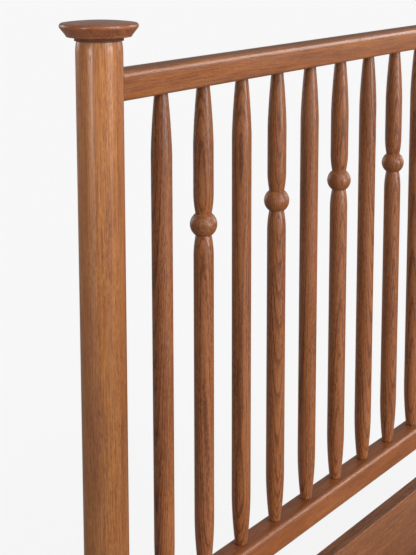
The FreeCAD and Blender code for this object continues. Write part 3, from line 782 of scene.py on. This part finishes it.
class Pen:
    """Writes the node tree of one material."""

    def __init__(self, name):
        self.material = bpy.data.materials.new(name)
        self.material.use_nodes = True
        self.nodes, self.links = self.material.node_tree.nodes, self.material.node_tree.links
        self.shader = self.nodes["Principled BSDF"]

    def put(self, socket, value):
        if isinstance(value, Value):
            self.links.new(value.socket, socket)
        else:
            socket.default_value = value

    def node(self, kind, settings=None, inputs=None, out=0):
        """Adds a node, sets it up, fills its sockets, and returns one of its outputs."""
        node = self.nodes.new("ShaderNode" + kind)
        for name, value in (settings or {}).items():
            if name == "stops":
                ramp = node.color_ramp.elements
                while len(ramp) < len(value):
                    ramp.new(0.5)
                for stop, (place, colour) in zip(ramp, value):
                    stop.position, stop.color = place, (*colour, 1)
            else:
                setattr(node, name, value)
        for name, value in (inputs or {}).items():
            self.put(node.inputs[name], value)
        return Value(self, node.outputs[out])

    def maths(self, operation, a, b=0.0):
        return self.node("Math", {"operation": operation}, {0: a, 1: b})

    def vector_maths(self, operation, a, b):
        return self.node("VectorMath", {"operation": operation}, {0: a, 1: b})

    def noise(self, place, scale=1.0, detail=2.0, roughness=0.5, out="Fac"):
        inputs = {"Vector": place, "Scale": scale, "Detail": detail, "Roughness": roughness}
        return self.node("TexNoise", {"noise_dimensions": "3D"}, inputs, out)

    def between(self, value, low, high, to_low=0.0, to_high=1.0):
        """0 below low, 1 above high and a smooth step between, or any two other values."""
        inputs = {"Value": value, "From Min": low, "From Max": high,
                  "To Min": to_low, "To Max": to_high}
        return self.node("MapRange", {"interpolation_type": "SMOOTHSTEP"}, inputs)

    def mix(self, share, a, b, blend="MIX"):
        """A colour between a and b."""
        settings = {"data_type": "RGBA", "blend_type": blend}
        return self.node("Mix", settings, {0: share, 6: a, 7: b}, out=2)

    def surface(self, **sockets):
        """Fills the shader's own sockets; underscores stand for spaces."""
        for name, value in sockets.items():
            self.put(self.shader.inputs[name.replace("_", " ")], value)
        return self.material

    def bump(self, height, distance, strength=1.0):
        return self.node("Bump", {}, {"Height": height, "Distance": distance, "Strength": strength})

# %% [markdown]
# ## Stained hardwood
#
# The wood has open pores in rings, like oak or ash. Early wood, grown in spring, is full of
# pores and drinks more stain, so it is darker, and late wood stays warm and light. The shader
# reads each point's place in its tree: the distance from the pith gives the ring, slow noise
# bends the rings, and noise stretched along the fibres draws bands, streaks, flecks and pores.
# A satin lacquer lies on top, worn a little paler on the edges. The joints are painted dark,
# partly as stain gathered there and partly as painted shade.

# %% Wood layers


def colour(tone, factor=1.0):
    """A tone's three numbers times a factor, as a shader's colour."""
    return (*(factor * c for c in tone), 1.0)


def streaks(pen, place, across, along, detail=2.0, roughness=0.5, out="Fac"):
    """Noise of a length across the fibres and another along them, both in millimetres."""
    place = pen.vector_maths("MULTIPLY", place, (1 / across, 1 / across, 1 / along))
    return pen.noise(place, 1.0, detail, roughness, out)


def wood(pen, place, tones, ring_width, ring_share, flecks, warmth=1.0, bend=15.0):
    """Colour, roughness change and relief of wood at a place in its tree.

    A point's ring is fract(bent distance from the pith / ring width + slow noise). The depth of
    the stain is 0.5 plus shares of ring, fibre, fleck, band and patch, each round zero, and a
    ramp of three tones turns it into a colour. Pores are short dark dashes, most of them in
    early wood. They and the flecks fade in plain places, and honey warms long stretches.
    """
    light, middle, dark = tones
    slow = streaks(pen, place, 38, 330, out="Color")
    either_way = pen.vector_maths("SUBTRACT", slow, (0.5, 0.5, 0.5))
    bent = pen.vector_maths("ADD", place,
                            pen.vector_maths("MULTIPLY", either_way, (bend, bend, 0.0)))
    x, y = (pen.node("SeparateXYZ", {}, {0: bent}, out=k) for k in (0, 1))
    radius = pen.maths("SQRT", x * x + y * y)
    uneven = pen.node("TexNoise", {"noise_dimensions": "1D"},
                      {"W": radius / 9.0, "Scale": 1.0, "Detail": 1.0}, "Fac")
    ring = pen.maths("FRACT", radius / ring_width + uneven * 2.5)
    early = (1.0 - pen.between(ring, 0.02, 0.5)) + pen.between(ring, 0.92, 1.0)
    fibre = streaks(pen, bent, 1.5, 30, 3.0, 0.6)
    fleck = streaks(pen, bent, 1.25, 6.5, 2.0, 0.6)
    band = streaks(pen, bent, 5.5, 220, 1.0)
    patch = streaks(pen, place, 20, 120)
    plain = pen.between(streaks(pen, place, 14, 160), 0.38, 0.62)
    dash = pen.between(streaks(pen, bent, 0.9, 7, 1.0), 0.55, 0.68)
    pore = dash * (early * 0.7 + 0.3)
    depth = ((early - 0.42) * ring_share + (fibre - 0.5) * 1.1
             + (fleck - 0.5) * (1.1 - plain * 0.5) * flecks
             + (band - 0.5) * 0.45 + (patch - 0.5) * 0.6 + 0.5)
    stops = [(0.14, light), (0.5, middle), (0.9, dark)]
    stain = pen.node("ValToRGB", {"stops": stops}, {"Fac": depth}, "Color")
    honey = pen.between(streaks(pen, bent, 7, 420), 0.4, 0.62)
    stain = pen.mix(honey * (0.75 * warmth), stain, colour((1.08, 1.02, 0.72)), "MULTIPLY")
    shown = pore * (1.0 - plain * 0.6) * min(0.55 * flecks, 0.7)
    stain = pen.mix(shown, stain, colour(dark, 0.4))
    relief = (1.0 - pore) * 0.7 + fibre * 0.3 - fleck * 0.35 - early * 0.1
    return stain, pore * 0.2 + (fibre - 0.5) * 0.12, relief


STRIP_JUMP = (23.0, 9.0, 733.0)  # a post's next strip comes from so far off in a tree


def stained_wood(name, tones, ring_width, roughness, ring_share, flecks, coat, bend=15.0,
                 staves=0.0):
    """A pored hardwood under stain and satin lacquer.

    The stain is paler on worn edges. Where the edge weight is negative it is painted darker, as
    painted shade and, at joints, gathered stain, and there the lacquer is missing. With staves, the
    wood is glued up from strips whose tones differ that much, and it gets painted light that grows
    with height.
    """
    pen = Pen(name)
    place = pen.node("Attribute", {"attribute_name": "grain"}, out="Vector")
    stave = pen.maths("FLOOR", pen.node("Attribute", {"attribute_name": "stave"}, out="Fac"))
    jump = pen.node("CombineXYZ", {}, {k: stave * STRIP_JUMP[k] for k in range(3)})
    place = pen.vector_maths("ADD", place, jump)
    stain, rough, relief = wood(pen, place, tones, ring_width, ring_share, flecks, bend=bend)
    if staves:
        # Steps of the golden ratio give neighbouring strips clearly different shares.
        odd = pen.maths("FRACT", stave * 0.618)
        stain = pen.mix(odd * staves, stain, colour((0.84, 0.74, 0.74)), "MULTIPLY")
        # Painted light: the posts are painted a little darker low down and a little lighter higher
        # up, from 0.6 to 1.25 m.
        height = pen.node("SeparateXYZ", {}, {0: pen.node("TexCoord", {}, out="Object")}, "Z")
        painted_light_by_height = pen.between(height, 0.6, 1.25, 0.78, 1.20)
        stain = pen.node("VectorMath", {"operation": "SCALE"}, {0: stain, "Scale": painted_light_by_height})
    edge = pen.node("Attribute", {"attribute_name": "edge"}, out="Fac")
    handled = pen.between(pen.noise(place, 0.14, 3.0), 0.35, 0.7)
    worn = pen.between(edge, 0.0, 1.0) * handled * 0.25
    # Painted shade: a negative edge weight, at joints and on the top rail's upper face, paints the
    # stain darker; at the joints this is partly stain gathered there.
    gathered_stain_and_painted_shade = pen.between(edge * -1.0, 0.0, 1.0)
    stain = pen.mix(worn, stain, colour(tones[0], 1.2))
    stain = pen.mix(gathered_stain_and_painted_shade * 0.7, stain, colour(tones[2], 0.4))
    return pen.surface(Base_Color=stain,
                       Roughness=rough + (roughness - worn * 0.15) + gathered_stain_and_painted_shade * 0.35,
                       Normal=pen.bump(relief, 0.0002, 0.6), Specular_IOR_Level=0.4,
                       Coat_Weight=(1.0 - gathered_stain_and_painted_shade) * coat, Coat_Roughness=0.26)


def board_wood(name, along, offset, tones, ring_width, ring_share, roughness, flecks, lacquer):
    """Wood for a board whose fibres run along an axis; offset moves it away from the pith."""
    pen = Pen(name)
    place = pen.node("TexCoord", {}, out="Object")
    parts = [pen.node("SeparateXYZ", {}, {0: place}, out=k) * (1 / MM) for k in range(3)]
    order = TRUNK_ORDER[along]
    place = pen.node("CombineXYZ", {}, {k: parts[order[k]] + offset[k] for k in range(3)})
    stain, rough, relief = wood(pen, place, tones, ring_width, ring_share, flecks, warmth=0.5)
    return pen.surface(Base_Color=stain, Roughness=rough + roughness,
                       Normal=pen.bump(relief, 0.0002, 0.5), Specular_IOR_Level=0.4,
                       Coat_Weight=lacquer, Coat_Roughness=0.2)

# %% [markdown]
# ## Stained finishes
#
# One finish for all pieces would be quicker, but the real posts are warmer and the spindles
# darker. So each kind has its own light, middle and dark tone, its own figure and its own gloss.

# %% Stained finishes
POST_TONES = ((0.476, 0.206, 0.072), (0.356, 0.138, 0.047), (0.214, 0.074, 0.024))
CAP_TONES = ((0.378, 0.137, 0.061), (0.271, 0.089, 0.039), (0.158, 0.046, 0.021))
SPINDLE_TONES = ((0.354, 0.133, 0.053), (0.251, 0.085, 0.032), (0.135, 0.040, 0.015))
TOP_RAIL_TONES = ((0.375, 0.144, 0.053), (0.272, 0.092, 0.032), (0.165, 0.05, 0.017))
LOWER_RAIL_TONES = ((0.333, 0.115, 0.04), (0.242, 0.075, 0.023), (0.146, 0.041, 0.013))
BOARD_TONES = ((0.30, 0.122, 0.056), (0.215, 0.080, 0.034), (0.125, 0.042, 0.019))
# After the tones: ring width in mm, roughness, and how much rings, flecks and lacquer show.
STAINS = {
    "_post_": stained_wood("stained_post_wood", POST_TONES, 2.2, 0.32, 0.16, 1.1, 0.2, staves=0.9),
    "_cap_": stained_wood("stained_cap_wood", CAP_TONES, 2.0, 0.28, 0.2, 0.9, 0.27),
    "spindle_": stained_wood("stained_spindle_wood", SPINDLE_TONES, 2.0, 0.38, 0.44, 1.8, 0.11,
                            bend=7.0),
    "top_rail": stained_wood("stained_top_rail_wood", TOP_RAIL_TONES, 2.1, 0.28, 0.14, 0.75, 0.06),
    "lower_rail": stained_wood("stained_lower_rail_wood", LOWER_RAIL_TONES, 2.1, 0.34, 0.14, 0.75,
                               0.14),
    "panel": stained_wood("stained_board_wood", BOARD_TONES, 2.4, 0.48, 0.2, 1.3, 0.02),
}
for node, piece in dressed.items():
    for word, finish in STAINS.items():
        if word in node:
            piece.data.materials.append(finish)
print("stained", sum(len(p.data.materials) for p in dressed.values()), "pieces")

# %% [markdown]
# ## Side rails, slats and the centre support
#
# These CAD nodes are plain boards with their holes in the right places, so they stay, and get
# better materials. Their materials read Object coordinates: the grain of a side rail runs along
# Y and that of a slat along X. Slats and support wood are pale planed softwood without stain.

# %% Board finishes


def dress(node, material):
    """Puts a material on every slot of a carried-over CAD node."""
    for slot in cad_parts[node].material_slots:
        slot.material = material


PALE_TONES = ((0.72, 0.52, 0.31), (0.60, 0.40, 0.215), (0.44, 0.255, 0.115))
STAINED_BOARD = {"tones": BOARD_TONES, "ring_width": 2.4, "ring_share": 0.2, "roughness": 0.40,
                 "flecks": 1.1, "lacquer": 0.08}
PALE_BOARD = {"tones": PALE_TONES, "ring_share": 0.34, "flecks": 0.4, "lacquer": 0.0}
for side_name, side in (("left", -1), ("right", 1)):
    offset = (-150.0, -side * post_x + 90.0 * side, 700.0 * side)
    finish = board_wood(f"stained_side_rail_{side_name}", "y", offset, **STAINED_BOARD)
    dress(f"side_rail_{side_name}", finish)
    offset = (-120.0, -side * 740.0 + 35.0, 400.0 * side)
    finish = board_wood(f"pale_ledge_{side_name}", "y", offset, ring_width=3.4, roughness=0.62,
                        **PALE_BOARD)
    dress(f"slat_ledge_{side_name}", finish)
dress("centre_rail", board_wood("pale_centre_rail", "y", (-170.0, 30.0, 150.0), ring_width=3.6,
                                roughness=0.62, **PALE_BOARD))
slat_finishes = [board_wood(f"pale_slat_{k + 1}", "x", (k * 37.0, -190.0 - 23.0 * k, k * 900.0),
                            ring_width=3.2 + 0.3 * k, roughness=0.6, **PALE_BOARD)
                 for k in range(4)]
for node in (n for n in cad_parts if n.startswith("slat_") and n[5:].isdigit()):
    dress(node, slat_finishes[int(node[5:]) * 3 % 4])
for name in leg_names:
    pale = board_wood(f"pale_leg_{name}", "z", (30.0, 12.0, 0.0), ring_width=2.8, roughness=0.6,
                      **PALE_BOARD)
    dressed[f"centre_leg_{name}"].data.materials.append(pale)
print("slat finishes", len(slat_finishes))

# %% [markdown]
# ## Metal and plastic
#
# Zinc plating is bright but never quite even: it has a faint cloudy spangle. The brackets are
# painted black with a slightly pebbled coat, and the glides are dark moulded plastic.

# %% Metal and plastic


def plated(name, tone, roughness):
    """Zinc plating: cloudy patches change the tone and the gloss a little."""
    pen = Pen(name)
    place = pen.node("TexCoord", {}, out="Object")
    cloud = pen.noise(place, 420.0, 3.0, 0.6)
    fine = pen.noise(place, 2600.0, 2.0)
    tint = pen.mix(pen.between(cloud, 0.35, 0.68), colour(tone), colour(tone, 0.72))
    return pen.surface(Base_Color=tint, Metallic=1.0, Roughness=cloud * 0.22 + roughness,
                       Normal=pen.bump(fine, 0.00004, 0.5))


def coated(name, tone, roughness, grain_scale, depth):
    """Powder coat or moulded plastic: one dark tone with a pebbled skin and faint scuffs."""
    pen = Pen(name)
    place = pen.node("TexCoord", {}, out="Object")
    pebble = pen.noise(place, grain_scale, 2.0)
    scuff = pen.between(pen.noise(place, 90.0, 4.0, 0.65), 0.52, 0.75)
    tint = pen.mix(scuff * 0.35, colour(tone), colour(tone, 2.2))
    return pen.surface(Base_Color=tint, Roughness=scuff * 0.12 + roughness,
                       Normal=pen.bump(pebble, depth, 0.6))


zinc = plated("zinc_plating", (0.44, 0.45, 0.46), 0.34)
screw_zinc = plated("screw_plating", (0.46, 0.43, 0.35), 0.36)
black_coat = coated("black_powder_coat", (0.022, 0.022, 0.023), roughness=0.45,
                    grain_scale=1500.0, depth=0.00008)
glide_plastic = coated("moulded_glide_plastic", (0.045, 0.035, 0.03), roughness=0.42,
                       grain_scale=900.0, depth=0.00004)
for node in ("bed_bolts", "barrel_nuts", *(f"levelling_foot_{name}" for name in leg_names)):
    dressed[node].data.materials.append(zinc)
dressed["post_glides"].data.materials.append(glide_plastic)
for node in ("ledge_screws", "slat_screws"):
    dress(node, screw_zinc)
for node in ("bracket_screws", "leg_hanger_bolts", "leg_threaded_inserts"):
    dress(node, zinc)
dress("centre_rail_brackets", black_coat)
print("materials so far", len(bpy.data.materials))

# %% [markdown]
# ## Floor and wall
#
# The studio is a plain pale floor and a round wall far off. Both glow a little, so that the
# background stays as even as the photograph's, which has no horizon and hardly a shadow.

# %% Floor
STUDIO_RADIUS, WALL_HEIGHT, AROUND_STUDIO = 60.0, 40.0, 96


def studio(name, outline):
    """A surface of revolution about Z: each (r, z) of the outline goes once round."""
    vertices = spun(outline[:, :1], outline[:, 1], full_turn(AROUND_STUDIO)).reshape(-1, 3)
    piece = mesh_object(name, vertices, join_rows(len(outline), AROUND_STUDIO).tolist())
    return piece


def studio_paint(name, diffuse, glow):
    """Pale paint that also glows a little, so that the floor stays even and shadows stay faint."""
    pen = Pen(name)
    tone = pen.noise(pen.node("TexCoord", {}, out="Object"), 3.0)
    grey = (diffuse, diffuse, diffuse)
    return pen.surface(Base_Color=pen.mix(tone, colour(grey, 0.98), colour(grey)), Roughness=1.0,
                       Specular_IOR_Level=0.0, Emission_Color=colour((1, 1, 1)),
                       Emission_Strength=glow)


floor = studio("floor", np.array([[0.001, 0.0], [3.0, 0.0], [12.0, 0.0], [STUDIO_RADIUS, 0.0]]))
floor.data.materials.append(studio_paint("pale_floor", 0.12, 0.853))
wall = studio("wall", np.array([[STUDIO_RADIUS, 0.0], [STUDIO_RADIUS, WALL_HEIGHT],
                                [0.01, WALL_HEIGHT + 10]]))
wall.data.materials.append(studio_paint("pale_wall", 0.0, 0.93))
# The camera sees them, but they light nothing, show in no reflection and cast no shadow.
for surface in (floor, wall):
    surface.visible_diffuse = surface.visible_glossy = surface.visible_shadow = False
print("studio radius", STUDIO_RADIUS, "m")

# %% [markdown]
# ## Lights
#
# Wide suns stand in for soft boxes, and light the whole bed evenly. The main and front lights
# come from the foot side, and the right one draws the rails' rounded edges. Two narrow ones, the
# strip and the side light, draw the posts' soft highlights, and one from above lights the edges.
# Weak ones fill the shadows and keep the headboard's back readable, and a faint far one gives
# the faces that look up a sheen.

# %% Lights
# For each light: azimuth and elevation in degrees, strength, and width in degrees.
LIGHTS = {
    "main_light": (-94, 9, 0.67, 30),
    "front_light": (-105, 28, 0.83, 30),
    "right_light": (-25, 16, 0.86, 30),
    "strip_light": (-84, 3, 0.85, 8),
    "upper_light": (-80, 45, 0.49, 10),
    "side_light": (177, 0, 0.87, 8),
    "fill_light": (-150, 30, 0.41, 40),
    "low_fill_light": (-130, 0, 0.13, 20),
    "back_light": (88, 12, 0.6, 30),
    "far_wall_light": (35, 8, 0.03, 40),
}
AIR_LIGHT = 0.21  # what comes evenly from all round


def distant_light(name, azimuth, elevation, strength, width):
    """A wide sun. Azimuth turns from +X towards +Y, and says where the light comes from."""
    lamp = bpy.data.lights.new(name, "SUN")
    lamp.energy, lamp.angle = strength, math.radians(width)
    light = bpy.data.objects.new(name, lamp)
    light.rotation_euler = (math.pi / 2 - math.radians(elevation), 0,
                            math.radians(azimuth) + math.pi / 2)
    bpy.context.scene.collection.objects.link(light)


for name, settings in LIGHTS.items():
    distant_light(name, *settings)
world = bpy.data.worlds.new("studio_air")
world.use_nodes = True
background = world.node_tree.nodes["Background"]
background.inputs["Color"].default_value = (1, 1, 1, 1)
background.inputs["Strength"].default_value = AIR_LIGHT
bpy.context.scene.world = world
bpy.context.scene.view_settings.view_transform = "Standard"
print("lights", len(LIGHTS))

# %% [markdown]
# ## Camera
#
# The picture was taken from low beside the left end of the bed, looking along the headboard.
# Its place and lens were worked out from the posts' edges, the rails' edges and the spacing of
# the spindles. A small downward shift keeps upright lines nearly upright.

# %% Camera
yaw, pitch, roll = (math.radians(v) for v in (55.9295, 9.0590, -0.1220))
CAMERA_PLACE, SHIFT = (-1.8602, 0.1509, 1.2465), -0.25
FOCAL_PIXELS, LONG_SIDE, SENSOR = 1337.6, 555, 36.0
ahead = np.array([math.sin(yaw) * math.cos(pitch), math.cos(yaw) * math.cos(pitch),
                  -math.sin(pitch)])
level = np.array([math.cos(yaw), -math.sin(yaw), 0.0])
over = np.cross(level, ahead)
right = level * math.cos(roll) + over * math.sin(roll)
up = over * math.cos(roll) - level * math.sin(roll)
lens = bpy.data.cameras.new("camera")
lens.sensor_fit, lens.sensor_width, lens.lens = "AUTO", SENSOR, FOCAL_PIXELS / LONG_SIDE * SENSOR
lens.shift_x, lens.shift_y = 0.0, SHIFT
lens.clip_start, lens.clip_end = 0.05, 200.0
camera = bpy.data.objects.new("camera", lens)
turn = np.eye(4)
turn[:3, :3] = np.stack([right, up, -ahead], axis=1)
turn[:3, 3] = CAMERA_PLACE
camera.matrix_world = Matrix(turn.tolist())
bpy.context.scene.collection.objects.link(camera)
bpy.context.scene.camera = camera
print("lens", round(lens.lens, 2), "mm")
